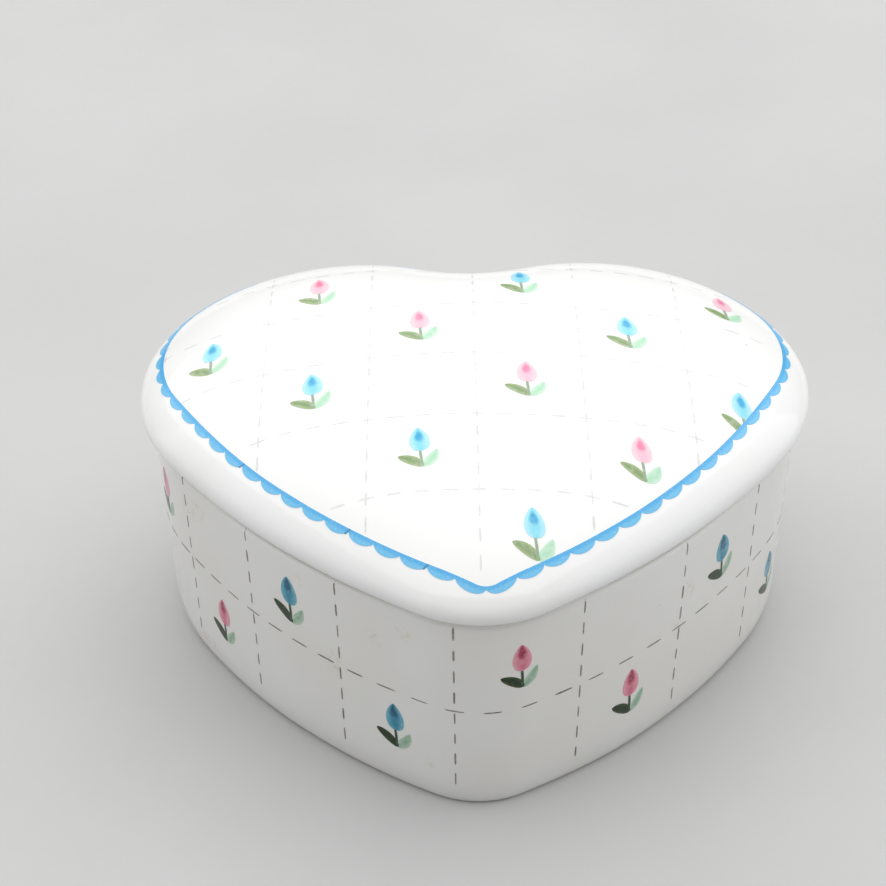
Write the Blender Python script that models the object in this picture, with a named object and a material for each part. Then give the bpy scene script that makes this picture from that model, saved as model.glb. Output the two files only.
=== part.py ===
"""Heart-shaped porcelain trinket box: a slip-cast cup and its lift-off domed lid.

Units are metres, +Z is up. The heart's tip points to -Y, its cleft to +Y, and
the box is mirror-symmetric about the plane X = 0. The origin is on the table,
under the middle of the lid's outline.
"""
import math

import bmesh
import bpy
from mathutils import Vector

MM = 0.001

# Outline of the lid at its widest, right half (the left half mirrors it).
LID_HALF_WIDTH = 44.0 * MM
LOBE_RADIUS = 27.4 * MM        # the round lobe at each side of the cleft
LOBE_CENTRE_Y = 9.85 * MM
CLEFT_RADIUS = 14.5 * MM       # the soft hollow between the lobes
SIDE_RADIUS = 104.5 * MM       # the long, slightly bowed side
TIP_RADIUS = 14.5 * MM
TIP_CENTRE_Y = -22.75 * MM

# Outline of the cup's wall at its rim: the same kind of heart, set in under the lid's edge.
CUP_HALF_WIDTH = 42.3 * MM
CUP_LOBE_RADIUS = 26.8 * MM
CUP_LOBE_CENTRE_Y = 9.0 * MM
CUP_CLEFT_RADIUS = 13.0 * MM
CUP_SIDE_RADIUS = 83.5 * MM
CUP_TIP_RADIUS = 13.3 * MM
CUP_TIP_CENTRE_Y = -23.0 * MM

# Heights.
RIM_HEIGHT = 30.8 * MM         # top of the cup's wall
REST_GAP = 0.3 * MM            # between the cup's rim and the lid that rests on it
BEAD_DROP = 1.4 * MM           # lid's widest line above its underside
BEAD_RISE = 3.1 * MM           # rounded shoulder above the widest line
DOME_RISE = 5.2 * MM           # what the crown adds to the shoulder
DOME_HALF_WIDTH = 48.8 * MM    # where the dome would come down to the shoulder, along X
DOME_HALF_DEPTH = 47.5 * MM    # and along Y
DOME_CENTRE_Y = 5.1 * MM

# Cup section.
WALL = 3.0 * MM
DRAFT = 1.1 * MM               # how far the wall leans in from the rim down to the table
FLOOR = 3.6 * MM
HEEL_WIDTH = 1.2 * MM          # rounded edge where wall and underside meet
HEEL_HEIGHT = 5.0 * MM
FOOT_WIDTH = 3.0 * MM          # unglazed ring that the cup stands on
FOOT_HEIGHT = 0.8 * MM
RIM_ROUND = 0.9 * MM
INNER_ROUND = 4.0 * MM         # inside corner between wall and floor

# Lid section.
SHOULDER_WIDTH = 12.3 * MM
LID_EDGE_ROUND = 1.2 * MM
LID_THICKNESS = 3.0 * MM
FLANGE_CLEARANCE = 0.5 * MM    # between the locating flange and the cup's inside
FLANGE_WIDTH = 2.6 * MM
FLANGE_DEPTH = 3.4 * MM
FLANGE_ROUND = 0.8 * MM

# Mesh density.
CLEFT_STEPS = 7
LOBE_STEPS = 26
SIDE_STEPS = 12
TIP_STEPS = 8
ROUND_STEPS = 6
SHOULDER_STEPS = 8
DOME_STEPS = 6
SHARP_ANGLE = math.radians(40)

# Looks.
BASE_WHITE = (0.80, 0.79, 0.77)
BASE_ROUGHNESS = 0.18
LID_WHITE = (0.90, 0.90, 0.89)
LID_ROUGHNESS = 0.12


def clear_scene():
    for old in list(bpy.data.objects):
        bpy.data.objects.remove(old, do_unlink=True)


def arc(centre, radius, start, end, steps, outward=1):
    """Points and outward directions along one arc, leaving out its last point."""
    run = []
    for k in range(steps):
        angle = start + (end - start) * k / steps
        way = Vector((math.cos(angle), math.sin(angle)))
        run.append((centre + radius * way, outward * way))
    return run


def heart(half_width, lobe_radius, lobe_y, cleft_radius, side_radius, tip_radius, tip_y):
    """Closed outline, cleft first and clockwise seen from above.

    Each half is four arcs that meet tangentially: the concave cleft, the
    lobe, the long side and the tip. Returns (point, outward direction) pairs.
    """
    lobe = Vector((half_width - lobe_radius, lobe_y))
    tip = Vector((0.0, tip_y))
    cleft = Vector((0.0, lobe_y + math.sqrt((lobe_radius + cleft_radius) ** 2 - lobe.x ** 2)))

    # Centre of the side's arc: it touches both the lobe and the tip from outside.
    to_lobe = side_radius - lobe_radius
    to_tip = side_radius - tip_radius
    span = (tip - lobe).length
    along = (to_lobe ** 2 - to_tip ** 2 + span ** 2) / (2 * span)
    across = math.sqrt(to_lobe ** 2 - along ** 2)
    way = (tip - lobe) / span
    side = lobe + along * way + across * Vector((way.y, -way.x))

    from_cleft = lobe - cleft
    cleft_end = math.atan2(from_cleft.y, from_cleft.x)
    lobe_end = math.atan2((lobe - side).y, (lobe - side).x)
    side_end = math.atan2((tip - side).y, (tip - side).x)

    right = arc(cleft, cleft_radius, -math.pi / 2, cleft_end, CLEFT_STEPS, outward=-1)
    right += arc(lobe, lobe_radius, cleft_end + math.pi, lobe_end, LOBE_STEPS)
    right += arc(side, side_radius, lobe_end, side_end, SIDE_STEPS)
    right += arc(tip, tip_radius, side_end, -math.pi / 2, TIP_STEPS)
    point = Vector((0.0, tip_y - tip_radius))
    left = [
        (Vector((-p.x, p.y)), Vector((-n.x, n.y)))
        for p, n in reversed(right[1:])
    ]
    return right + [(point, Vector((0.0, -1.0)))] + left


def middle(outline):
    ys = [p.y for p, n in outline]
    return Vector((0.0, (max(ys) + min(ys)) / 2))


def inset_ring(outline, inset, height):
    """The outline moved inward by `inset`, at one height."""
    return [Vector((p.x - inset * n.x, p.y - inset * n.y, height)) for p, n in outline]


def quarter(steps, first=0):
    """Angles from 0 to a right angle."""
    return [math.pi / 2 * k / steps for k in range(first, steps + 1)]


def skin(name, rings, start, end):
    """Closed solid from rings that follow one another, with a point at each end."""
    mesh = bmesh.new()
    loops = [[mesh.verts.new(p) for p in ring] for ring in rings]
    count = len(loops[0])
    for lower, upper in zip(loops, loops[1:]):
        for k in range(count):
            n = (k + 1) % count
            mesh.faces.new((lower[k], lower[n], upper[n], upper[k]))
    for loop, point in ((loops[0], start), (loops[-1], end)):
        hub = mesh.verts.new(point)
        for k in range(count):
            mesh.faces.new((loop[k], loop[(k + 1) % count], hub))
    bmesh.ops.recalc_face_normals(mesh, faces=mesh.faces)
    data = bpy.data.meshes.new(name)
    mesh.to_mesh(data)
    mesh.free()
    data.shade_smooth()
    data.set_sharp_from_angle(angle=SHARP_ANGLE)
    node = bpy.data.objects.new(name, data)
    bpy.context.collection.objects.link(node)
    return node


def porcelain(name, colour, roughness):
    material = bpy.data.materials.new(name)
    material.use_nodes = True
    shader = material.node_tree.nodes["Principled BSDF"]
    shader.inputs["Base Color"].default_value = (*colour, 1.0)
    shader.inputs["Roughness"].default_value = roughness
    shader.inputs["Metallic"].default_value = 0.0
    return material


def cup_outline():
    return heart(CUP_HALF_WIDTH, CUP_LOBE_RADIUS, CUP_LOBE_CENTRE_Y, CUP_CLEFT_RADIUS,
                 CUP_SIDE_RADIUS, CUP_TIP_RADIUS, CUP_TIP_CENTRE_Y)


def box_base():
    """The cup: foot ring, rounded heel, wall, rolled rim and inside."""
    outline = cup_outline()
    centre = middle(outline)
    section = [
        (HEEL_WIDTH + FOOT_WIDTH, FOOT_HEIGHT),
        (HEEL_WIDTH + FOOT_WIDTH, 0.0),
        (HEEL_WIDTH, 0.0),
    ]
    for angle in quarter(ROUND_STEPS, first=1):
        section.append((HEEL_WIDTH * (1 - math.sin(angle)), HEEL_HEIGHT * (1 - math.cos(angle))))
    for angle in quarter(ROUND_STEPS):
        section.append((RIM_ROUND * (1 - math.cos(angle)),
                        RIM_HEIGHT - RIM_ROUND * (1 - math.sin(angle))))
    for angle in quarter(ROUND_STEPS):
        section.append((WALL - RIM_ROUND * (1 - math.sin(angle)),
                        RIM_HEIGHT - RIM_ROUND * (1 - math.cos(angle))))
    for angle in quarter(ROUND_STEPS):
        section.append((WALL + INNER_ROUND * (1 - math.cos(angle)),
                        FLOOR + INNER_ROUND * (1 - math.sin(angle))))
    lean = [DRAFT * (1 - height / RIM_HEIGHT) for inset, height in section]
    rings = [
        inset_ring(outline, inset + lean_in, height)
        for (inset, height), lean_in in zip(section, lean)
    ]
    return skin("box_base", rings,
                (centre.x, centre.y, FOOT_HEIGHT), (centre.x, centre.y, FLOOR))


def edge_distance(point, outline):
    """Shortest distance from a plan point to the outline."""
    best = math.inf
    for k, (a, n) in enumerate(outline):
        b = outline[(k + 1) % len(outline)][0]
        step = b - a
        share = max(0.0, min(1.0, (point - a).dot(step) / step.length_squared))
        best = min(best, (point - a - share * step).length)
    return best


def shrunk(ring, centre, factor):
    """The ring's plan points drawn in towards the centre."""
    return [centre + factor * (Vector((p.x, p.y)) - centre) for p in ring]


def lid():
    """The lid: dome, rounded shoulder, overhanging edge, flange and hollow underside."""
    outline = heart(LID_HALF_WIDTH, LOBE_RADIUS, LOBE_CENTRE_Y, CLEFT_RADIUS,
                    SIDE_RADIUS, TIP_RADIUS, TIP_CENTRE_Y)
    centre = middle(outline)
    cup = cup_outline()
    underside = RIM_HEIGHT + REST_GAP
    widest = underside + BEAD_DROP
    flange_out = WALL + FLANGE_CLEARANCE
    flange_in = flange_out + FLANGE_WIDTH
    flange_low = underside - FLANGE_DEPTH

    def top(point):
        """Height of the lid's upper surface over a plan point."""
        near_edge = 1 - min(edge_distance(point, outline) / SHOULDER_WIDTH, 1.0)
        across = point.x / DOME_HALF_WIDTH
        along = (point.y - DOME_CENTRE_Y) / DOME_HALF_DEPTH
        rise = BEAD_RISE + DOME_RISE * (1 - across ** 2 - along ** 2)
        return widest + rise * math.sqrt(1 - near_edge ** 2)

    def on_top(points, drop=0.0):
        plan = [Vector((p.x, p.y)) for p in points]
        return [Vector((p.x, p.y, top(p) - drop)) for p in plan]

    # Hollow underside, from under the crown out to the flange, and round the flange.
    hollow = inset_ring(cup, flange_in, 0.0)
    rings = [
        on_top(shrunk(hollow, centre, k / DOME_STEPS), LID_THICKNESS)
        for k in range(1, DOME_STEPS + 1)
    ]
    rings.append(inset_ring(cup, flange_in, flange_low + FLANGE_ROUND))
    rings.append(inset_ring(cup, flange_in - FLANGE_ROUND, flange_low))
    rings.append(inset_ring(cup, flange_out + FLANGE_ROUND, flange_low))
    rings.append(inset_ring(cup, flange_out, flange_low + FLANGE_ROUND))
    rings.append(inset_ring(cup, flange_out, underside))

    # Overhanging edge up to the widest line, the shoulder, then the dome to the crown.
    for angle in quarter(ROUND_STEPS):
        inset = LID_EDGE_ROUND * (1 - math.sin(angle))
        rings.append(inset_ring(outline, inset, widest - BEAD_DROP * math.cos(angle)))
    for angle in quarter(SHOULDER_STEPS, first=1):
        rings.append(on_top(inset_ring(outline, SHOULDER_WIDTH * (1 - math.cos(angle)), 0.0)))
    inner = rings[-1]
    for k in range(DOME_STEPS - 1, 0, -1):
        rings.append(on_top(shrunk(inner, centre, k / DOME_STEPS)))

    crown = top(centre)
    return skin("lid", rings, (centre.x, centre.y, crown - LID_THICKNESS), (centre.x, centre.y, crown))


def build():
    clear_scene()
    base = box_base()
    base.data.materials.append(porcelain("base_porcelain", BASE_WHITE, BASE_ROUGHNESS))
    cover = lid()
    cover.data.materials.append(porcelain("lid_porcelain", LID_WHITE, LID_ROUGHNESS))


build()
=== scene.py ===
"""Looks of the heart-shaped porcelain trinket box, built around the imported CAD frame.

Both pieces of porcelain are lofted again at fine steps from the same kind of heart
outline as the CAD solids, then the fired-on decals are laid over them as thin films:
a dashed lattice, tulips in alternate cells and a scalloped border. Metres, +Z up.
"""
import math
import random

import bpy
import numpy as np
from mathutils import Matrix, Vector, noise
from mathutils.bvhtree import BVHTree


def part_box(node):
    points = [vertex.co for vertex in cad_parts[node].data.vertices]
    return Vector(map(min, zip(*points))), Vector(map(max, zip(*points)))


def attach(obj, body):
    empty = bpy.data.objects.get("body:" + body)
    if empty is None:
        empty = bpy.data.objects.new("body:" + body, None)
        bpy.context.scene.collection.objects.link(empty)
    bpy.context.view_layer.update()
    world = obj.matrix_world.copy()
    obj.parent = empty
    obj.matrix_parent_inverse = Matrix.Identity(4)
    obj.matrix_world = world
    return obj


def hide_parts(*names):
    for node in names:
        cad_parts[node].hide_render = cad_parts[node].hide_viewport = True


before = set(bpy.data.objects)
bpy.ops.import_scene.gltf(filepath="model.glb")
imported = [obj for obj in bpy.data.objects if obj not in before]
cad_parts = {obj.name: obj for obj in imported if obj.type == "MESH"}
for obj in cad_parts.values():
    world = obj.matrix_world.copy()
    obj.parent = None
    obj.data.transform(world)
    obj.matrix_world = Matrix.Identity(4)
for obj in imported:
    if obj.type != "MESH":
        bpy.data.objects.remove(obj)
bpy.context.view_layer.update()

CUP_LOW, CUP_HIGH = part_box("box_base")
LID_LOW, LID_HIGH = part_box("lid")
MM = 0.001

# ---------------------------------------------------------------- driving dimensions

# Lid outline; its half width and its tip come from the CAD lid's box.
LID_LOBE_RADIUS = 27.4 * MM
LID_LOBE_Y = LID_HIGH.y - LID_LOBE_RADIUS
LID_CLEFT_RADIUS = 14.5 * MM
LID_SIDE_RADIUS = 104.5 * MM
LID_TIP_RADIUS = 14.5 * MM

# Cup outline, likewise.
CUP_LOBE_RADIUS = 26.8 * MM
CUP_LOBE_Y = CUP_HIGH.y - CUP_LOBE_RADIUS
CUP_CLEFT_RADIUS = 13.0 * MM
CUP_SIDE_RADIUS = 83.5 * MM
CUP_TIP_RADIUS = 13.3 * MM

# Cup section.
RIM_Z = CUP_HIGH.z
WALL = 3.0 * MM
DRAFT = 1.1 * MM               # how far the wall leans in from the rim down to the table
FLOOR_Z = 3.6 * MM
HEEL_WIDTH = 1.2 * MM
HEEL_HEIGHT = 5.0 * MM
FOOT_WIDTH = 3.0 * MM
FOOT_HEIGHT = 0.8 * MM
FOOT_ROUND = 0.4 * MM
RIM_ROUND = 0.9 * MM
INNER_ROUND = 4.0 * MM
BARE_HEEL = 0.15                # glaze stops within this angle of the foot's flat, in radians
BARE_RIM_OUT = 0.9              # and on the rim past this angle outside
BARE_RIM_IN = 0.6               # and up to this one inside

# Lid section.
REST_GAP = 0.3 * MM
UNDERSIDE_Z = RIM_Z + REST_GAP
BEAD_DROP = 1.4 * MM
WIDEST_Z = UNDERSIDE_Z + BEAD_DROP
BEAD_RISE = 3.1 * MM
CROWN_Y = 5.1 * MM
DOME_RISE = LID_HIGH.z - WIDEST_Z - BEAD_RISE
DOME_HALF_WIDTH = 48.8 * MM
DOME_HALF_DEPTH = 47.5 * MM
SHOULDER_WIDTH = 12.3 * MM
LID_EDGE_ROUND = 1.2 * MM
LID_THICKNESS = 3.0 * MM
FLANGE_INSET = WALL + 0.5 * MM
FLANGE_WIDTH = 2.6 * MM
FLANGE_LOW = LID_LOW.z
FLANGE_ROUND = 0.8 * MM

# Slip-cast unevenness of the porcelain: long waves with shorter ones on them.
WAVE_HEIGHT = 0.10 * MM
WAVE_LENGTH = 17 * MM
RIPPLE_SHARE = 0.4
RIPPLE_RATE = 2.3

# How finely each stretch of the two sections is stepped.
CUP_STEPS = {"foot": 4, "heel": 16, "wall": 18, "rim": 8, "inside": 12, "fillet": 10, "flat": 8}
LID_STEPS = {"hollow": 16, "root": 6, "flange": 6, "side": 3, "seat": 6, "edge": 10,
             "shoulder": 26, "crown": 24}

# Border of the lid: a heart of its own.
BORDER_HALF_WIDTH = 40.6 * MM
BORDER_LOBE_RADIUS = 22.5 * MM
BORDER_LOBE_Y = 13.4 * MM
BORDER_CLEFT_RADIUS = 25.0 * MM
BORDER_SIDE_RADIUS = 83.0 * MM
BORDER_TIP_RADIUS = 2.7 * MM
BORDER_TIP_Y = -34.5 * MM
BORDER_CLEAR = 0.1 * MM         # about how far its scallops stay inside the lid's outline
BAND_WIDTH = 0.38 * MM
BORDER_SHIFT = -0.15 * MM       # the sheet lies a little off the lid's middle
BORDER_TURN = math.radians(1.2)  # and a little turned
BORDER_RIGHT = 1.016            # and drawn a little wider on its +X side
SCALLOP_PITCH = 3.75 * MM
SCALLOP_DEPTH = 0.68 * MM
SCALLOP_FULLNESS = 0.75         # power of the scallop's curve: 1 is a parabola, 0.5 an ellipse
SCALLOP_STEPS = 12
SCALLOP_SHARES = (0, 0.25, 0.5, 0.75, 1)
BORDER_JOINTS = (-2, -5, -10)   # in scallops from the tip
SLOPE_STEP = 0.1 * MM           # over which the way in from the border is measured
JOINT_WIDTH = 0.28 * MM
JOINT_SLANT = 1.2               # how far it leans over the border's width, in its own widths

# Lattice of the lid. Lines across the lid sag towards its sides, where the sheet wraps down.
LID_PITCH = 13.6 * MM
LID_ROW_PITCH = 13.4 * MM
LID_ROW_ORIGIN = -7.0 * MM
LID_ROW_SQUEEZE = 0.42 * MM
LID_SAG_RADIUS = 150 * MM
LID_LINES = 3                   # on each side of the middle one
LID_REACH = 4                   # cells each way that a line runs before the border cuts it
LID_TULIP_ROWS = range(-1, 4)   # counted towards the tip
LID_TULIP_TOP = 1.5             # the middle of row 0, in lattice lines
LID_TULIP_SHIFT = (-0.25 * MM, 0.75 * MM)
TULIP_OVERHANG = 1 * MM         # how far past the border a tulip's middle may be
PART_OVERHANG = 0.8 * MM        # and the middle of one of its parts
LID_SEED = 4

# Lattice of the wall: distance along the outline from the tip, and height. The sheet is
# pulled wider round the tip and bunched up on both sides of it.
WALL_CELLS = 16
WALL_ORIGIN = -2.35 * MM
WALL_STRETCH = 2.2 * MM
STRETCH_CELLS = 8
STRETCH_START = 0.62
WALL_LINE_Z = 16.9 * MM
WALL_LINE_SWAY = 0.4 * MM
WALL_ROW_Z = (23.5 * MM, 10.7 * MM)
WALL_SEED = 9

DASHES_PER_CELL = 4             # on the lid
UPRIGHT_PITCH = 3.5 * MM        # of the dashes on the wall's upright lines
UPRIGHT_LEAD = 0.5 * MM
UPRIGHT_DASHES = 8              # in each of them, half of them above the line round
ROUND_DASHES = 56               # in the line round the wall
DASH_SHARE = 0.56
DASH_WIDTH = 0.24 * MM
DASH_STEPS = 6
DASH_TAPER = 0.55               # share of its width that a dash loses at its ends
TAPER_POWER = 6
LENGTH_CHANCE = 0.10            # random share of a dash's length, either way
WIDTH_CHANCE = 0.18

# Films: how far each layer of the decals stands off the glaze.
LAYER = 0.005 * MM
FIRST_LAYER = 0.02 * MM
FILM_SINK = 0.03 * MM
FILM_EDGE = math.radians(40)    # edges sharper than this are shaded sharp


# ---------------------------------------------------------------- outlines


class Heart:
    """Closed outline, mirrored about x = 0, of arcs that meet tangentially.

    The distance s runs along it from the tip: positive on the +X side, negative on the other.
    """

    STEPS = {"tip": 18, "side": 44, "lobe": 78, "cleft": 16}
    SAMPLES = 720

    def __init__(self, half_width, lobe_radius, lobe_y, cleft_radius, side_radius, tip_radius, tip):
        lobe = Vector((half_width - lobe_radius, lobe_y))
        point = Vector((0.0, tip + tip_radius))
        hollow = math.sqrt((lobe_radius + cleft_radius) ** 2 - lobe.x ** 2)
        cleft = Vector((0.0, lobe_y + hollow))
        to_lobe = side_radius - lobe_radius
        to_tip = side_radius - tip_radius
        span = (point - lobe).length
        along = (to_lobe ** 2 - to_tip ** 2 + span ** 2) / (2 * span)
        across = math.sqrt(to_lobe ** 2 - along ** 2)
        way = (point - lobe) / span
        side = lobe + along * way + across * Vector((way.y, -way.x))
        tip_end = self.bearing(point - side)
        side_end = self.bearing(lobe - side)
        cleft_start = self.bearing(lobe - cleft)
        down = -math.pi / 2
        self.arcs = [
            ("tip", point, tip_radius, down, tip_end, 1),
            ("side", side, side_radius, tip_end, side_end, 1),
            ("lobe", lobe, lobe_radius, side_end, cleft_start + math.pi, 1),
            ("cleft", cleft, cleft_radius, cleft_start, down, -1),
        ]
        self.half = sum(abs(end - start) * radius for _, _, radius, start, end, _ in self.arcs)
        spots = [self.at(2 * self.half * k / self.SAMPLES) for k in range(self.SAMPLES)]
        self.spots = np.array([p for p, _ in spots])
        self.ways = np.array([w for _, w in spots])

    @staticmethod
    def bearing(direction):
        return math.atan2(direction.y, direction.x)

    def at(self, s):
        """Point and outward direction at a distance s from the tip."""
        s = (s + self.half) % (2 * self.half) - self.half
        mirror = -1 if s < 0 else 1
        left = abs(s)
        for name, centre, radius, start, end, outward in self.arcs:
            length = abs(end - start) * radius
            if left <= length or name == "cleft":
                angle = start + (end - start) * min(left / length, 1.0)
                way = Vector((math.cos(angle), math.sin(angle)))
                p = centre + radius * way
                out = outward * way
                return Vector((mirror * p.x, p.y)), Vector((mirror * out.x, out.y))
            left -= length

    def stations(self):
        """Distances of the loft's points, the same number on every heart, once round."""
        right, base = [], 0.0
        for name, _, radius, start, end, _ in self.arcs:
            length = abs(end - start) * radius
            right += [base + length * k / self.STEPS[name] for k in range(self.STEPS[name])]
            base += length
        return right + [self.half] + [-s for s in reversed(right[1:])]

    def loft(self):
        """Points and outward directions at the stations, as arrays."""
        pairs = [self.at(s) for s in self.stations()]
        return np.array([p for p, _ in pairs]), np.array([n for _, n in pairs])

    def distance(self, points):
        """Signed distance of plan points from the outline, positive inside."""
        gap = points[:, None, :] - self.spots[None, :, :]
        near = np.argmin((gap ** 2).sum(2), axis=1)
        return -(gap[np.arange(len(points)), near] * self.ways[near]).sum(1)


LID = Heart(LID_HIGH.x, LID_LOBE_RADIUS, LID_LOBE_Y, LID_CLEFT_RADIUS,
            LID_SIDE_RADIUS, LID_TIP_RADIUS, LID_LOW.y)
CUP = Heart(CUP_HIGH.x, CUP_LOBE_RADIUS, CUP_LOBE_Y, CUP_CLEFT_RADIUS,
            CUP_SIDE_RADIUS, CUP_TIP_RADIUS, CUP_LOW.y)
BORDER = Heart(BORDER_HALF_WIDTH, BORDER_LOBE_RADIUS, BORDER_LOBE_Y, BORDER_CLEFT_RADIUS,
               BORDER_SIDE_RADIUS, BORDER_TIP_RADIUS, BORDER_TIP_Y)


# ---------------------------------------------------------------- porcelain meshes


def quarter(steps, first=0):
    """Angles from 0 to a right angle."""
    return [math.pi / 2 * k / steps for k in range(first, steps + 1)]


def inset_ring(loft, inset, height):
    """The loft's outline drawn in by inset, at one height."""
    points, outward = loft
    plan = points - inset * outward
    return np.column_stack([plan, np.full(len(plan), height)])


def skin(name, rings, start, end, bare):
    """Closed solid from rings in turn, with a hub at each end; bare is each ring's lack of glaze."""
    count = len(rings[0])
    verts = np.vstack([*rings, [start], [end]])
    faces = []
    for r in range(len(rings) - 1):
        low, high = r * count, (r + 1) * count
        faces += [(low + k, low + (k + 1) % count, high + (k + 1) % count, high + k)
                  for k in range(count)]
    last = (len(rings) - 1) * count
    first_hub, last_hub = len(verts) - 2, len(verts) - 1
    for k in range(count):
        n = (k + 1) % count
        faces.append((first_hub, n, k))
        faces.append((last + k, last + n, last_hub))
    mesh = bpy.data.meshes.new(name)
    mesh.from_pydata(verts.tolist(), [], faces)
    mesh.shade_smooth()
    unglazed = mesh.attributes.new("bare", "FLOAT", "POINT")
    unglazed.data.foreach_set("value", np.append(np.repeat(bare, count), [0.0, 0.0]))
    piece = bpy.data.objects.new(name, mesh)
    bpy.context.scene.collection.objects.link(piece)
    return piece


def slip_cast(piece):
    """Low waves along the surface, as casting and firing leave; contact faces stay true."""
    mesh = piece.data
    bare = [v.value for v in mesh.attributes["bare"].data]
    shifts = []
    for v in mesh.vertices:
        ripple = noise.noise(v.co * RIPPLE_RATE / WAVE_LENGTH)
        wave = noise.noise(v.co / WAVE_LENGTH) + RIPPLE_SHARE * ripple
        shifts.append(v.normal * WAVE_HEIGHT * wave * (1 - bare[v.index]))
    for v, shift in zip(mesh.vertices, shifts):
        v.co += shift
    mesh.update()


def cup_porcelain():
    """The cup from the sunk base round the foot, the wall and the rim to the floor inside."""
    loft = CUP.loft()
    steps = CUP_STEPS
    section = []                    # (inset, height, unglazed)
    foot_in = HEEL_WIDTH + FOOT_WIDTH
    for angle in quarter(steps["foot"]):
        section.append((foot_in + FOOT_ROUND * math.cos(angle) - FOOT_ROUND,
                        FOOT_HEIGHT - (FOOT_HEIGHT - FOOT_ROUND) * math.sin(angle), 0.0))
    for angle in quarter(steps["foot"]):
        section.append((foot_in - FOOT_ROUND / 2 * math.sin(angle),
                        FOOT_ROUND * (1 - math.sin(angle)), 1.0))
    section.append((HEEL_WIDTH + FOOT_WIDTH / 2, 0.0, 1.0))
    for angle in quarter(steps["heel"]):
        section.append((HEEL_WIDTH * (1 - math.sin(angle)), HEEL_HEIGHT * (1 - math.cos(angle)),
                        1.0 if angle < BARE_HEEL else 0.0))
    low, high = HEEL_HEIGHT, RIM_Z - RIM_ROUND
    count = steps["wall"]
    section += [(0.0, low + (high - low) * k / count, 0.0) for k in range(1, count)]
    for angle in quarter(steps["rim"]):
        section.append((RIM_ROUND * (1 - math.cos(angle)), high + RIM_ROUND * math.sin(angle),
                        1.0 if angle > BARE_RIM_OUT else 0.0))
    for angle in quarter(steps["rim"]):
        section.append((WALL - RIM_ROUND * (1 - math.sin(angle)), high + RIM_ROUND * math.cos(angle),
                        1.0 if angle < BARE_RIM_IN else 0.0))
    low = FLOOR_Z + INNER_ROUND
    count = steps["inside"]
    section += [(WALL, high + (low - high) * k / count, 0.0) for k in range(1, count)]
    for angle in quarter(steps["fillet"]):
        section.append((WALL + INNER_ROUND * (1 - math.cos(angle)),
                        low - INNER_ROUND * math.sin(angle), 0.0))
    rings = [inset_ring(loft, inset + DRAFT * (1 - height / RIM_Z), height)
             for inset, height, _ in section]
    bare = [b for _, _, b in section]
    hub = np.array([0.0, (CUP_LOW.y + CUP_HIGH.y) / 2])
    count = steps["flat"]
    under = [shrunk(rings[0], hub, k / count) for k in range(1, count)]
    floor = [shrunk(rings[-1], hub, k / count) for k in range(count - 1, 0, -1)]
    rings = under + rings + floor
    bare = [0.0] * len(under) + bare + [0.0] * len(floor)
    return skin("cup_porcelain", rings, (*hub, FOOT_HEIGHT), (*hub, FLOOR_Z), bare)


def shrunk(ring, hub, factor):
    """The ring drawn in towards the hub, at its own height."""
    plan = hub + factor * (ring[:, :2] - hub)
    return np.column_stack([plan, ring[:, 2]])


def lid_top(plan):
    """Height of the lid's upper surface over plan points."""
    near_edge = 1 - np.clip(LID.distance(plan) / SHOULDER_WIDTH, 0, 1)
    across = plan[:, 0] / DOME_HALF_WIDTH
    along = (plan[:, 1] - CROWN_Y) / DOME_HALF_DEPTH
    rise = BEAD_RISE + DOME_RISE * (1 - across ** 2 - along ** 2)
    return WIDEST_Z + rise * np.sqrt(1 - near_edge ** 2)


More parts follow.
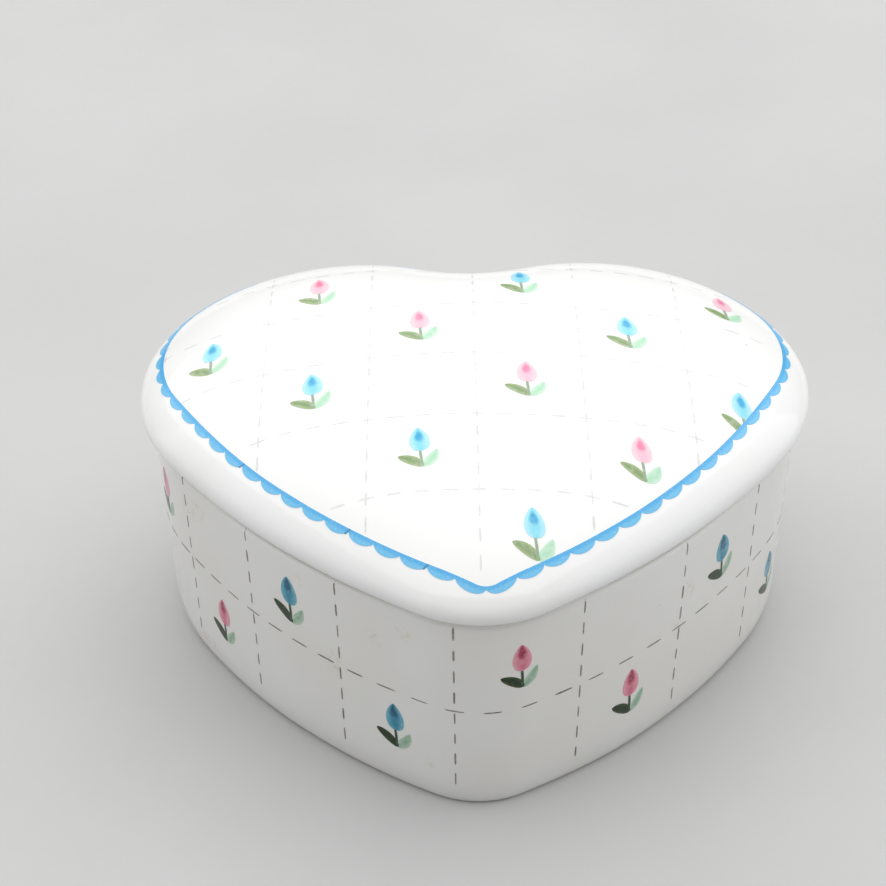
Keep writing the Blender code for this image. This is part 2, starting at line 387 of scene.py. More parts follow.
def lid_porcelain():
    """The lid from the hollow underside round the flange, the seat and the bead to the crown."""
    outer, inner = LID.loft(), CUP.loft()
    steps = LID_STEPS
    hub = np.array([0.0, (LID_LOW.y + LID_HIGH.y) / 2])
    flange_in = FLANGE_INSET + FLANGE_WIDTH
    rings, bare = [], []

    def add(ring, unglazed=0.0):
        rings.append(ring)
        bare.append(unglazed)

    def on_top(plan, drop=0.0):
        return np.column_stack([plan, lid_top(plan) - drop])

    # Hollow underside from the crown to the flange, rounded into it.
    hollow = inset_ring(inner, flange_in + FLANGE_WIDTH / 2, 0.0)
    count = steps["hollow"]
    for k in range(1, count + 1):
        add(on_top(shrunk(hollow, hub, k / count)[:, :2], LID_THICKNESS))
    edge = rings[-1]
    root = inset_ring(inner, flange_in, 0.0)
    for angle in quarter(steps["root"], first=1):
        plan = edge[:, :2] + (root[:, :2] - edge[:, :2]) * math.sin(angle)
        add(np.column_stack([plan, edge[:, 2] - FLANGE_WIDTH / 2 * (1 - math.cos(angle))]))
    floor = FLANGE_LOW + FLANGE_ROUND
    for angle in quarter(steps["flange"]):
        add(inset_ring(inner, flange_in - FLANGE_ROUND * (1 - math.cos(angle)),
                       floor - FLANGE_ROUND * math.sin(angle)))
    for angle in quarter(steps["flange"]):
        add(inset_ring(inner, FLANGE_INSET + FLANGE_ROUND * (1 - math.sin(angle)),
                       floor - FLANGE_ROUND * math.cos(angle)))
    count = steps["side"]
    for k in range(1, count + 1):
        add(inset_ring(inner, FLANGE_INSET, floor + (UNDERSIDE_Z - floor) * k / count), 1.0)

    # Flat seat over the rim, glazed only at its outer edge, then the edge, the bead and the dome.
    seat_in = inset_ring(inner, FLANGE_INSET, UNDERSIDE_Z)
    seat_out = inset_ring(outer, LID_EDGE_ROUND, UNDERSIDE_Z)
    count = steps["seat"]
    for k in range(1, count):
        add(seat_in + (seat_out - seat_in) * k / count, 1.0 if k < count - 1 else 0.0)
    for angle in quarter(steps["edge"]):
        add(inset_ring(outer, LID_EDGE_ROUND * (1 - math.sin(angle)),
                       WIDEST_Z - BEAD_DROP * math.cos(angle)))
    for angle in quarter(steps["shoulder"], first=1):
        add(on_top(inset_ring(outer, SHOULDER_WIDTH * (1 - math.cos(angle)), 0.0)[:, :2]))
    last = rings[-1]
    count = steps["crown"]
    for k in range(count - 1, 0, -1):
        add(on_top(shrunk(last, hub, k / count)[:, :2]))
    crown = lid_top(np.array([hub]))[0]
    return skin("lid_porcelain", rings, (*hub, crown - LID_THICKNESS), (*hub, crown), bare)


# ---------------------------------------------------------------- decals


class Surface:
    """A finished piece of porcelain that a decal sheet is laid on."""

    def __init__(self, piece):
        mesh = piece.data
        self.tree = BVHTree.FromPolygons([v.co.copy() for v in mesh.vertices],
                                         [tuple(p.vertices) for p in mesh.polygons])

    def hit(self, start, way):
        spot, normal, _, _ = self.tree.ray_cast(start, way)
        return spot, normal


class LidSheet(Surface):
    """The decal sheet of the lid, in plan; it sags towards the sides."""

    @staticmethod
    def plan(a, b):
        """Plan point of the sheet's (a, b)."""
        return a, b - a * a / (2 * LID_SAG_RADIUS)

    def plain(self, x, y):
        """Spot and normal on the lid under a plan point."""
        return self.hit(Vector((x, y, LID_HIGH.z + WALL)), Vector((0, 0, -1)))


class WallSheet(Surface):
    """The decal sheet round the cup: distance along the outline, and height."""

    def put(self, a, b):
        """Spot and normal on the wall; nothing is put higher than the turn of the rim."""
        b = min(b, RIM_Z - RIM_ROUND / 4)
        point, outward = CUP.at(a)
        start = point + 2 * WALL * outward
        return self.hit(Vector((*start, b)), Vector((*-outward, 0)))


class Film:
    """Thin closed films laid on a surface, collected in one mesh."""

    def __init__(self, name, layer):
        self.name = name
        self.lift = FIRST_LAYER + LAYER * layer
        self.verts, self.faces = [], []
        self.values = {"along": [], "across": [], "shade": []}

    def patch(self, grid, put, shade=0.0, over=0):
        """One film from a grid of (a, b, along, across) rows, laid on by put.

        A film with over lies so many layers above the rest. One that misses the surface is left out.
        """
        rows, columns = len(grid), len(grid[0])
        base = len(self.verts)
        flat = [cell for row in grid for cell in row]
        placed = [put(a, b) for a, b, _, _ in flat]
        if any(spot is None for spot, _ in placed):
            return
        for height in (self.lift + LAYER * over, -FILM_SINK):
            self.verts += [spot + normal * height for spot, normal in placed]
            self.values["along"] += [along for _, _, along, _ in flat]
            self.values["across"] += [across for _, _, _, across in flat]
            self.values["shade"] += [shade] * len(flat)
        under = base + len(flat)
        for r in range(rows - 1):
            for c in range(columns - 1):
                k = r * columns + c
                quad = (k, k + 1, k + columns + 1, k + columns)
                self.faces.append(tuple(base + i for i in quad))
                self.faces.append(tuple(under + i for i in reversed(quad)))
        loop = list(range(columns))
        loop += [r * columns + columns - 1 for r in range(1, rows)]
        loop += [(rows - 1) * columns + c for c in range(columns - 2, -1, -1)]
        loop += [r * columns for r in range(rows - 2, 0, -1)]
        for i, j in zip(loop, loop[1:] + loop[:1]):
            self.faces.append((base + j, base + i, under + i, under + j))

    def finish(self):
        mesh = bpy.data.meshes.new(self.name)
        mesh.from_pydata([tuple(v) for v in self.verts], [], self.faces)
        mesh.shade_smooth()
        mesh.set_sharp_from_angle(angle=FILM_EDGE)
        for key, values in self.values.items():
            mesh.attributes.new(key, "FLOAT", "POINT").data.foreach_set("value", values)
        piece = bpy.data.objects.new(self.name, mesh)
        bpy.context.scene.collection.objects.link(piece)
        return piece


def dash(a, b, length, width, upright, rng):
    """A printed dash centred at (a, b); its ends and width vary a little."""
    length *= 1 + LENGTH_CHANCE * rng.uniform(-1, 1)
    width *= 1 + WIDTH_CHANCE * rng.uniform(-1, 1)
    grid = []
    for i in range(DASH_STEPS + 1):
        t = i / DASH_STEPS - 0.5
        half = width / 2 * (1 - DASH_TAPER * abs(2 * t) ** TAPER_POWER)
        row = []
        for side in (-1, 0, 1):
            p, q = (side * half, t * length) if upright else (t * length, -side * half)
            row.append((a + p, b + q, t + 0.5, side))
        grid.append(row)
    return grid


BLADE_END = 0.004               # share of a blade's length cut off at each end, so no edge is a point


def blade(base, tip, half_width, root, point, bend, steps=14, across=6):
    """Leaf or petal from base to tip; the lower root and point are, the blunter that end is."""
    base, tip = Vector(base), Vector(tip)
    way = tip - base
    side = Vector((-way.y, way.x)).normalized()
    widest = root / (root + point)
    peak = widest ** root * (1 - widest) ** point
    grid = []
    for i in range(steps + 1):
        t = 0.5 - 0.5 * math.cos(math.pi * i / steps)
        t = min(max(t, BLADE_END), 1 - BLADE_END)
        half = half_width * t ** root * (1 - t) ** point / peak
        middle = base + way * t + side * bend * math.sin(math.pi * t)
        row = []
        for j in range(across + 1):
            share = 2 * j / across - 1
            spot = middle - side * half * share
            row.append((spot.x, spot.y, t, share))
        grid.append(row)
    return grid


# One tulip, in millimetres, drawn from the foot of its stem.
TULIP_PARTS = {
    "bloom": dict(base=(0.05, 2.85), tip=(-0.2, 7.25), half_width=1.30,
                  root=0.44, point=0.74, bend=0.0),
    "stem": dict(base=(0.05, 0.05), tip=(-0.1, 3.15), half_width=0.19,
                 root=0.12, point=0.12, bend=-0.06),
    "dark_leaf": dict(base=(0.3, 0.1), tip=(-2.85, 2.15), half_width=0.74,
                      root=0.55, point=0.62, bend=-0.18),
    "mint_leaf": dict(base=(0.1, 0.0), tip=(2.1, 3.0), half_width=0.74,
                      root=0.50, point=0.68, bend=-0.30),
}
TULIP_MIDDLE = 3.6              # height of its middle over the foot of the stem
LEAN_CHANCE = 0.05              # random lean either way, sideways for each unit of height
SIZE_CHANCE = 0.03              # random share of its size, either way


def tulip(films, part_of, a, b, put, rng, inside=None):
    """One tulip centred at (a, b), each printed a little differently.

    Where inside is given, a part whose middle lies well past the border is left out.
    """
    lean = LEAN_CHANCE * rng.uniform(-1, 1)
    size = MM * (1 + SIZE_CHANCE * rng.uniform(-1, 1))
    shade = rng.random()
    for part, shape in TULIP_PARTS.items():
        grid = []
        for row in blade(**shape):
            cells = []
            for x, y, along, across in row:
                y -= TULIP_MIDDLE
                cells.append((a + size * (x + lean * y), b + size * (y - lean * x), along, across))
            grid.append(cells)
        middle = grid[len(grid) // 2][len(grid[0]) // 2]
        if inside and not inside(middle[0], middle[1], -PART_OVERHANG):
            continue
        films[part_of[part]].patch(grid, put, shade)


def lid_row(j):
    """Place of the lid's lattice line j, counted towards the cleft."""
    return LID_ROW_ORIGIN + LID_ROW_PITCH * j - LID_ROW_SQUEEZE * j * j


def border_plan(x, y, way=1):
    """Plan point of the lid seen from the border's own axes, or the reverse with way -1."""
    turn = -way * BORDER_TURN
    if way > 0:
        x -= BORDER_SHIFT
    elif x > 0:
        x *= BORDER_RIGHT
    x, y = x * math.cos(turn) - y * math.sin(turn), x * math.sin(turn) + y * math.cos(turn)
    if way < 0:
        x += BORDER_SHIFT
    elif x > 0:
        x /= BORDER_RIGHT
    return x, y


def tulip_parts(bloom):
    """Which film each part of a tulip belongs to."""
    return {"bloom": bloom, "stem": "stems", "dark_leaf": "leaves_dark", "mint_leaf": "leaves_mint"}


def lid_decals(sheet):
    """Films of the lid: the lattice and tulips inside the border, then the border over them."""
    rng = random.Random(LID_SEED)
    names = {"grid": 0, "leaves_mint": 1, "leaves_dark": 2, "stems": 3,
             "blooms_pink": 4, "blooms_blue": 4, "border": 5}
    films = {key: Film("lid_" + key, layer) for key, layer in names.items()}

    def inside(a, b, margin):
        """Whether the spot is inside the border by more than the margin."""
        return BORDER.distance(np.array([border_plan(*sheet.plan(a, b))]))[0] > margin

    def under_border(a, b):
        """Put the spot on the lid, drawn in under the border's band if it lies past its edge."""
        plan = border_plan(*sheet.plan(a, b))
        past = -BORDER.distance(np.array([plan]))[0]
        if past > 0:
            near = min(past, BAND_WIDTH / 2)
            step = SLOPE_STEP
            here = np.array([plan, (plan[0] + step, plan[1]), (plan[0], plan[1] + step)])
            depth = BORDER.distance(here)
            slope = Vector((depth[1] - depth[0], depth[2] - depth[0])).normalized()
            plan = Vector(plan) + slope * (past - near)
        return sheet.plain(*border_plan(plan[0], plan[1], -1))

    # Dashed lattice, as far as the border.
    lines = range(-LID_LINES, LID_LINES + 1)
    dashes = range(-LID_REACH * DASHES_PER_CELL, LID_REACH * DASHES_PER_CELL)
    for line in lines:
        for step in dashes:
            along = step / DASHES_PER_CELL
            a, b = LID_PITCH * line, lid_row(along)
            pitch = (lid_row(along + 0.5) - lid_row(along - 0.5)) / DASHES_PER_CELL
            if inside(a, b, 0.0):
                films["grid"].patch(dash(a, b, pitch * DASH_SHARE, DASH_WIDTH, True, rng),
                                    under_border, rng.random())
    for line in lines:
        for step in dashes:
            a, b = LID_PITCH * step / DASHES_PER_CELL, lid_row(line)
            pitch = LID_PITCH / DASHES_PER_CELL
            if inside(a, b, 0.0):
                films["grid"].patch(dash(a, b, pitch * DASH_SHARE, DASH_WIDTH, False, rng),
                                    under_border, rng.random())

    # A tulip in every other cell, pink and blue by turns.
    right, up = LID_TULIP_SHIFT
    for row in LID_TULIP_ROWS:
        for column in range(-LID_LINES, LID_LINES):
            place = column + 1 - row
            a = LID_PITCH * (column + 0.5) + right
            b = lid_row(LID_TULIP_TOP - row) + up
            if place % 2 or not inside(a, b, -TULIP_OVERHANG):
                continue
            bloom = "blooms_pink" if place % 4 == 0 else "blooms_blue"
            tulip(films, tulip_parts(bloom), a, b, under_border, rng, inside)

    # Scalloped border.
    count = round(2 * BORDER.half / SCALLOP_PITCH)
    steps = count * SCALLOP_STEPS
    for start in range(0, steps, SCALLOP_STEPS):
        grid = []
        for k in range(start, start + SCALLOP_STEPS + 1):
            point, outward = BORDER.at(2 * BORDER.half * k / steps)
            swing = 2 * (k - start) / SCALLOP_STEPS - 1
            reach = BAND_WIDTH + SCALLOP_DEPTH * (1 - swing * swing) ** SCALLOP_FULLNESS
            room = LID.distance(np.array([border_plan(*point, -1)]))[0] - BORDER_CLEAR
            reach = min(reach, room)
            row = []
            for share in SCALLOP_SHARES:
                spot = border_plan(*(point + outward * reach * share), -1)
                row.append((*spot, share * reach / (BAND_WIDTH + SCALLOP_DEPTH), swing))
            grid.append(row)
        films["border"].patch(grid, sheet.plain)

    # Where two strips of the border overlap, a narrow double thickness of ink.
    for joint in BORDER_JOINTS:
        s = 2 * BORDER.half * joint / count
        grid = []
        for share in SCALLOP_SHARES:
            row = []
            for side in (-0.5, 0, 0.5):
                point, outward = BORDER.at(s + JOINT_WIDTH * (side - JOINT_SLANT * share))
                reach = (BAND_WIDTH + SCALLOP_DEPTH / 2) * share
                row.append((*border_plan(*(point + outward * reach), -1), share, side))
            grid.append(row)
        films["border"].patch(grid, sheet.plain, shade=1.0, over=1)
    return films


def wall_column(t):
    """Distance along the wall of the lattice's upright line t."""
    stretch = math.sin(2 * math.pi * (t - STRETCH_START) / STRETCH_CELLS)
    return WALL_ORIGIN + 2 * CUP.half / WALL_CELLS * t + WALL_STRETCH * stretch


def wall_line(t):
    """Height of the lattice's line round the wall, at column t."""
    sway = math.cos(2 * math.pi * (t - STRETCH_START) / STRETCH_CELLS)
    return WALL_LINE_Z - WALL_LINE_SWAY * sway


def cup_decals(sheet):
    """Films of the cup: the lattice all round, and a tulip in every other cell of both rows."""
    rng = random.Random(WALL_SEED)
    names = {"grid": 0, "leaves_mint": 1, "leaves_dark": 2, "stems": 3,
             "blooms_pink": 4, "blooms_blue": 4}
    films = {key: Film("cup_" + key, layer) for key, layer in names.items()}
    half_way = WALL_CELLS // 2

    # Dashed lattice: upright lines from the rim to the heel, and one line round, which
    # crosses them in their gaps.
    length = UPRIGHT_PITCH * DASH_SHARE
    for line in range(-half_way, half_way):
        a = wall_column(line)
        for step in range(-UPRIGHT_DASHES // 2, UPRIGHT_DASHES // 2):
            b = wall_line(line) + UPRIGHT_PITCH * (step + 0.5) + UPRIGHT_LEAD
            films["grid"].patch(dash(a, b, length, DASH_WIDTH, True, rng), sheet.put, rng.random())
    length = 2 * CUP.half / ROUND_DASHES * DASH_SHARE
    for step in range(ROUND_DASHES):
        t = WALL_CELLS * step / ROUND_DASHES
        films["grid"].patch(dash(wall_column(t), wall_line(t), length, DASH_WIDTH, False, rng),
                            sheet.put, rng.random())

    # A tulip in every other cell, pink and blue by turns.
    for cell in range(-half_way, half_way):
        for row, height in enumerate(WALL_ROW_Z):
            place = cell + 1 - row
            if place % 2 == 0:
                continue
            bloom = "blooms_pink" if place % 4 == 1 else "blooms_blue"
            a = wall_column(cell + 0.5)
            tulip(films, tulip_parts(bloom), a, height, sheet.put, rng)
    return films


# ---------------------------------------------------------------- materials


# Sizes of the features in glaze, ink and floor.
CLOUD = 22 * MM
PINHOLE_PITCH = 4.5 * MM
PINHOLE_RARITY = 0.93           # share of the cells that have none
STAIN = 8 * MM
STAIN_GRAIN = 0.8 * MM
BISQUE_GRAIN = 1.2 * MM
SHEEN = 6 * MM
PEEL = 2.2 * MM
GRIT = 0.25 * MM
INK_POOL = 0.9 * MM
INK_THIN = 0.7 * MM
INK_SHEEN = 3 * MM
DASH_BREAK = 0.5 * MM
TRIM_POOL = 0.8 * MM
TRIM_THIN = 0.3 * MM
PAPER_CLOUD = 60 * MM
PAPER_SHEEN = 2 * MM
PAPER_GRAIN = 0.8 * MM

# Colours, linear.
PINHOLE = (0.23, 0.19, 0.14)
STAIN_BROWN = (0.56, 0.45, 0.24)
BISQUE = ((0.74, 0.71, 0.66), (0.84, 0.82, 0.78))
GLAZE_TONE = (0.84, 0.83, 0.81)
TRIM_THIN_BLUE = (0.55, 0.78, 0.86)
TRIM_JOINT_BLUE = (0.03, 0.24, 0.46)
PAPER = ((0.51, 0.51, 0.507), (0.54, 0.54, 0.537))

GLAZE_IOR = 1.5
INK_IOR = 1.4
GLAZE_ROUGHNESS = (0.07, 0.15)
INK_ROUGHNESS = (0.12, 0.22)
BISQUE_ROUGHNESS = 0.7
PAPER_ROUGHNESS = (0.55, 0.65)


class Nodes:
    """Short hand for building one material's node tree."""

    def __init__(self, name):
        self.material = bpy.data.materials.new(name)
        self.material.use_nodes = True
        self.tree = self.material.node_tree
        self.shader = self.tree.nodes["Principled BSDF"]
        self.shader.inputs["Metallic"].default_value = 0.0
        self.shader.inputs["IOR"].default_value = GLAZE_IOR
        self.place = self.add("ShaderNodeTexCoord").outputs["Object"]

    def add(self, kind, **settings):
        node = self.tree.nodes.new(kind)
        for key, value in settings.items():
            setattr(node, key, value)
        return node

    def join(self, out, into):
        self.tree.links.new(out, into)

    def noise(self, size, detail=3.0, roughness=0.5):
        """Noise whose features are about this size in metres."""
        node = self.add("ShaderNodeTexNoise")
        node.inputs["Scale"].default_value = 1 / size
        node.inputs["Detail"].default_value = detail
        node.inputs["Roughness"].default_value = roughness
        self.join(self.place, node.inputs["Vector"])
        return node.outputs["Fac"]

    def attribute(self, name):
        return self.add("ShaderNodeAttribute", attribute_name=name).outputs["Fac"]

    def math(self, operation, a, b=None, c=None, clamp=False):
        node = self.add("ShaderNodeMath", operation=operation, use_clamp=clamp)
        for socket, value in zip(node.inputs, (a, b, c)):
            if value is None:
                continue
            if isinstance(value, (int, float)):
                socket.default_value = value
            else:
                self.join(value, socket)
        return node.outputs[0]

    def span(self, value, low, high, start=0.0, end=1.0, smooth=True):
        """value mapped from low..high to start..end."""
        node = self.add("ShaderNodeMapRange")
        node.interpolation_type = "SMOOTHSTEP" if smooth else "LINEAR"
        self.join(value, node.inputs["Value"])
        node.inputs["From Min"].default_value = low
        node.inputs["From Max"].default_value = high
        node.inputs["To Min"].default_value = start
        node.inputs["To Max"].default_value = end
        return node.outputs["Result"]

    def mix(self, share, a, b):
        """Colour a to colour b."""
        node = self.add("ShaderNodeMix", data_type="RGBA")
        for socket, value in zip((node.inputs[0], node.inputs[6], node.inputs[7]), (share, a, b)):
            if isinstance(value, (int, float)):
                socket.default_value = value
            elif isinstance(value, tuple):
                socket.default_value = (*value, 1.0)
            else:
                self.join(value, socket)
        return node.outputs[2]

    def bump(self, height, strength, distance):
        node = self.add("ShaderNodeBump")
        node.inputs["Strength"].default_value = strength
        node.inputs["Distance"].default_value = distance
        self.join(height, node.inputs["Height"])
        self.join(node.outputs["Normal"], self.shader.inputs["Normal"])

    def finish(self, colour, roughness):
        self.join(colour, self.shader.inputs["Base Color"])
        self.join(roughness, self.shader.inputs["Roughness"])
        return self.material


def glaze(name, white, warm, stained=0.0):
    """Clear-glazed porcelain: faint warm clouds, pinholes, an uneven sheen, bare where unglazed."""
    n = Nodes(name)
    clouds = n.span(n.noise(CLOUD), 0.35, 0.7)
    colour = n.mix(clouds, white, warm)
    speck = n.add("ShaderNodeTexVoronoi", feature="F1")
    speck.inputs["Scale"].default_value = 1 / PINHOLE_PITCH
    n.join(n.place, speck.inputs["Vector"])
    tone = n.add("ShaderNodeSeparateColor")
    n.join(speck.outputs["Color"], tone.inputs["Color"])
    rare = n.math("GREATER_THAN", tone.outputs["Red"], PINHOLE_RARITY)
    spot = n.math("MULTIPLY", n.span(speck.outputs["Distance"], 0.02, 0.045, 1.0, 0.0), rare)
    colour = n.mix(n.math("MULTIPLY", spot, 0.6), colour, PINHOLE)
    if stained:
        where = n.span(n.noise(STAIN, 1.0), 0.66, 0.76)
        grain = n.span(n.noise(STAIN_GRAIN, 4.0, 0.7), 0.42, 0.70)
        stain = n.math("MULTIPLY", n.math("MULTIPLY", where, grain), stained)
        colour = n.mix(stain, colour, STAIN_BROWN)
    bare = n.attribute("bare")
    bisque = n.mix(n.noise(BISQUE_GRAIN, 4.0), *BISQUE)
    colour = n.mix(bare, colour, bisque)
    gloss = n.span(n.noise(SHEEN), 0.3, 0.7, *GLAZE_ROUGHNESS)
    rough = n.add("ShaderNodeMix", data_type="FLOAT")
    n.join(bare, rough.inputs[0])
    n.join(gloss, rough.inputs[2])
    rough.inputs[3].default_value = BISQUE_ROUGHNESS
    grit = n.math("MULTIPLY", bare, 1.5)
    peel = n.math("MULTIPLY_ADD", n.noise(GRIT), grit, n.noise(PEEL, 2.0))
    n.bump(peel, 0.35, 0.03 * MM)
    return n.finish(colour, rough.outputs[0])


def ink(name, edge, middle, core=None, core_place=(0.74, 0.32, 0.70),
        wash=0.15):
    """Fired-on watercolour: thin at its edges, deeper inside, with a darker core if it has one.

    core_place is the core's height, reach and spread, as shares of the petal; wash says how much
    the glaze shows through in places.
    """
    n = Nodes(name)
    n.shader.inputs["IOR"].default_value = INK_IOR
    across = n.math("ABSOLUTE", n.attribute("across"))
    along = n.attribute("along")
    pool = n.noise(INK_POOL, 4.0, 0.6)
    inward = n.math("MULTIPLY", across, -1.0)
    depth = n.span(n.math("MULTIPLY_ADD", pool, 0.5, inward), -0.75, 0.15)
    colour = n.mix(depth, edge, middle)
    if core:
        height, reach, spread = core_place
        up = n.math("DIVIDE", n.math("SUBTRACT", along, height), reach)
        aside = n.math("DIVIDE", across, spread)
        far = n.math("SQRT", n.math("ADD", n.math("POWER", up, 2.0), n.math("POWER", aside, 2.0)))
        far = n.math("MULTIPLY_ADD", pool, 0.3, far)
        colour = n.mix(n.span(far, 0.55, 1.35, 1.0, 0.0), colour, core)
    thin = n.math("MULTIPLY", n.span(n.noise(INK_THIN, 3.0), 0.45, 0.75), wash)
    colour = n.mix(thin, colour, GLAZE_TONE)
    gloss = n.span(n.noise(INK_SHEEN), 0.3, 0.7, *INK_ROUGHNESS)
    return n.finish(colour, gloss)


def printed(name, dark, light, wash):
    """Dashes: thin ink that breaks up over the glaze."""
    n = Nodes(name)
    broken = n.span(n.noise(DASH_BREAK, 4.0, 0.7), 0.35, 0.7)
    own = n.attribute("shade")
    tone = n.math("MULTIPLY_ADD", own, 0.35, n.math("MULTIPLY", broken, wash), clamp=True)
    colour = n.mix(tone, dark, light)
    gloss = n.span(n.noise(INK_SHEEN), 0.3, 0.7, *INK_ROUGHNESS)
    return n.finish(colour, gloss)


def trim(name, band, scallop):
    """Border: a denser band along its inner edge, paler scallops, and dark joints."""
    n = Nodes(name)
    pool = n.noise(TRIM_POOL, 3.0, 0.6)
    out = n.math("MULTIPLY_ADD", pool, 0.25, n.attribute("along"))
    colour = n.mix(n.span(out, 0.35, 0.75), band, scallop)
    thin = n.math("MULTIPLY", n.span(n.noise(TRIM_THIN, 3.0), 0.5, 0.8), 0.25)
    colour = n.mix(thin, colour, TRIM_THIN_BLUE)
    colour = n.mix(n.attribute("shade"), colour, TRIM_JOINT_BLUE)
    gloss = n.span(n.noise(INK_SHEEN), 0.3, 0.7, *INK_ROUGHNESS)
    return n.finish(colour, gloss)


# ---------------------------------------------------------------- the box

cup = cup_porcelain()
slip_cast(cup)
# The cup's glaze colour is painted greyer than the lid's, as painted shade on the walls; both pieces
# are the same porcelain.
cup.data.materials.append(glaze("cup_glaze_painted_shade", (0.82, 0.81, 0.785), (0.79, 0.775, 0.74), 0.4))
lid = lid_porcelain()
slip_cast(lid)
# The lid's glaze colour is painted lighter than the cup's, as painted light on its top.
lid.data.materials.append(glaze("lid_glaze_painted_light", (0.88, 0.88, 0.875), (0.86, 0.855, 0.84)))
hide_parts("box_base")
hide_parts("lid")

lid_films = lid_decals(LidSheet(lid))
cup_films = cup_decals(WallSheet(cup))

# Inks of the parts of a tulip: the tone at the edges, the tone in the middle and, for a bloom,
# its core. The lid's copies of the same inks are painted lighter than the wall's, as painted light on
# its top.
LID_CORE = (0.26, 0.56)         # reach and spread of a bloom's core on the lid
WALL_INKS = {
    "grid": printed("wall_dash", (0.13, 0.115, 0.085), (0.45, 0.42, 0.37), 0.55),
    "blooms_blue": ink("wall_blue", (0.13, 0.42, 0.53), (0.025, 0.24, 0.37), (0.004, 0.10, 0.20)),
    "blooms_pink": ink("wall_pink", (0.78, 0.34, 0.42), (0.66, 0.17, 0.25), (0.36, 0.025, 0.075)),
    "stems": ink("wall_stem", (0.035, 0.085, 0.04), (0.02, 0.055, 0.03), wash=0.08),
    "leaves_dark": ink("wall_leaf", (0.03, 0.06, 0.016), (0.009, 0.024, 0.005), wash=0.03),
    "leaves_mint": ink("wall_mint", (0.44, 0.60, 0.47), (0.28, 0.44, 0.31), wash=0.35),
}
# The lid's dashes and tulips: the wall's inks painted lighter, as painted light on the lid's top.
LID_INKS_PAINTED_LIGHT = {
    "grid": printed("lid_dash_painted_light", (0.64, 0.63, 0.615), (0.82, 0.815, 0.81), 0.6),
    "blooms_blue": ink("lid_blue_painted_light", (0.42, 0.76, 0.86), (0.24, 0.67, 0.82), (0.030, 0.38, 0.66),
                       (0.62, *LID_CORE)),
    "blooms_pink": ink("lid_pink_painted_light", (0.87, 0.60, 0.67), (0.85, 0.50, 0.60), (0.80, 0.22, 0.38),
                       (0.64, *LID_CORE)),
    "stems": ink("lid_stem_painted_light", (0.34, 0.44, 0.32), (0.26, 0.36, 0.24), wash=0.2),
    "leaves_dark": ink("lid_leaf_painted_light", (0.34, 0.44, 0.22), (0.22, 0.32, 0.14), wash=0.2),
    "leaves_mint": ink("lid_mint_painted_light", (0.55, 0.78, 0.60), (0.42, 0.70, 0.50), wash=0.3),
    "border": trim("lid_border_ink", (0.06, 0.39, 0.74), (0.13, 0.48, 0.78)),
}

for films, inks, body, slot in ((lid_films, LID_INKS_PAINTED_LIGHT, "lid", "lid_porcelain"),
                                (cup_films, WALL_INKS, "base", "base_porcelain")):
    for key, film in films.items():
        piece = film.finish()
        piece.data.materials.append(inks[key])
        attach(piece, body)
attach(cup, "base")
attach(lid, "lid")


# ---------------------------------------------------------------- stage, light and camera


FLOOR_REACH = 3.0
WORLD_COLOUR = (0.82, 0.84, 0.86, 1.0)
WORLD_STRENGTH = 0.32
LIT_SPOT = (0, 0, 0.02)         # what every light is turned to
WARM = (1.0, 0.995, 0.98)
NEUTRAL = (1.0, 1.0, 1.0)
COOL = (0.97, 0.98, 1.0)

# Camera, as fitted to the outlines of both hearts.
AZIMUTH = math.radians(-0.12)
ELEVATION = math.radians(36.62)
ROLL = math.radians(-0.52)
SENSOR = 36.0
LENS = 95.9
DISTANCE = 0.31684
AIM = (0.0, 6.7 * MM, 20 * MM)
AIM_LEFT = 4.22                 # millimetres
AIM_UP = 4.57


def floor():
    """Plain pale floor."""
    mesh = bpy.data.meshes.new("floor")
    reach = FLOOR_REACH
    corners = [(-reach, -reach, 0), (reach, -reach, 0), (reach, reach, 0), (-reach, reach, 0)]
    mesh.from_pydata(corners, [], [(0, 1, 2, 3)])
    piece = bpy.data.objects.new("floor", mesh)
    bpy.context.scene.collection.objects.link(piece)
    n = Nodes("floor_paper")
    colour = n.mix(n.span(n.noise(PAPER_CLOUD), 0.3, 0.7), *PAPER)
    rough = n.span(n.noise(PAPER_SHEEN), 0.3, 0.7, *PAPER_ROUGHNESS)
    n.bump(n.noise(PAPER_GRAIN), 0.15, 0.05 * MM)
    mesh.materials.append(n.finish(colour, rough))


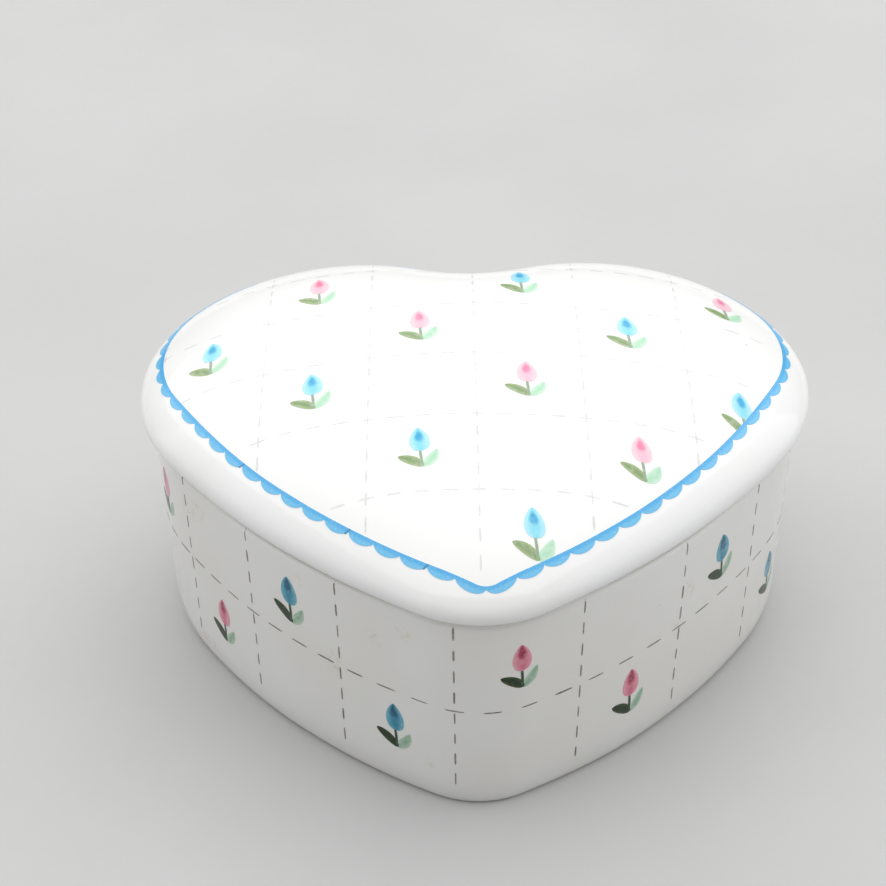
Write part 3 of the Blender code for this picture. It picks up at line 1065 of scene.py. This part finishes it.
def softbox(name, place, width, height, power, colour):
    """Rectangular light turned to the lit spot."""
    data = bpy.data.lights.new(name, "AREA")
    data.shape = "RECTANGLE"
    data.size = width
    data.size_y = height
    data.energy = power
    data.color = colour
    light = bpy.data.objects.new(name, data)
    light.location = place
    way = Vector(LIT_SPOT) - Vector(place)
    light.rotation_euler = way.to_track_quat("-Z", "Y").to_euler()
    bpy.context.scene.collection.objects.link(light)


def camera():
    """Looks down on the tip from in front, with a long lens."""
    back = Vector((math.sin(AZIMUTH) * math.cos(ELEVATION),
                   -math.cos(AZIMUTH) * math.cos(ELEVATION), math.sin(ELEVATION)))
    right = Vector((math.cos(AZIMUTH), math.sin(AZIMUTH), 0.0))
    up = back.cross(right)
    data = bpy.data.cameras.new("camera")
    data.sensor_width = SENSOR
    data.lens = LENS
    data.clip_start = 0.01
    view = bpy.data.objects.new("camera", data)
    level = right * math.cos(ROLL) + up * math.sin(ROLL)
    rise = up * math.cos(ROLL) - right * math.sin(ROLL)
    target = Vector(AIM) - right * AIM_LEFT * MM + up * AIM_UP * MM
    view.matrix_world = Matrix([
        (level.x, rise.x, back.x, target.x + back.x * DISTANCE),
        (level.y, rise.y, back.y, target.y + back.y * DISTANCE),
        (level.z, rise.z, back.z, target.z + back.z * DISTANCE),
        (0.0, 0.0, 0.0, 1.0),
    ])
    bpy.context.scene.collection.objects.link(view)
    bpy.context.scene.camera = view


floor()
softbox("key", (0, 0.40, 1.05), width=2.4, height=2.3, power=25.0, colour=WARM)
softbox("front", (0.1, -0.85, 1.15), width=1.8, height=1.2, power=2.4, colour=NEUTRAL)
softbox("left", (-1.25, -0.15, 0.60), width=1.8, height=1.2, power=3.8, colour=COOL)
softbox("right", (1.30, 0.0, 0.55), width=1.8, height=1.2, power=5.5, colour=COOL)
world = bpy.data.worlds.new("studio")
world.use_nodes = True
sky = world.node_tree.nodes["Background"]
sky.inputs["Color"].default_value = WORLD_COLOUR
sky.inputs["Strength"].default_value = WORLD_STRENGTH
bpy.context.scene.world = world
bpy.context.scene.view_settings.view_transform = "Standard"
camera()
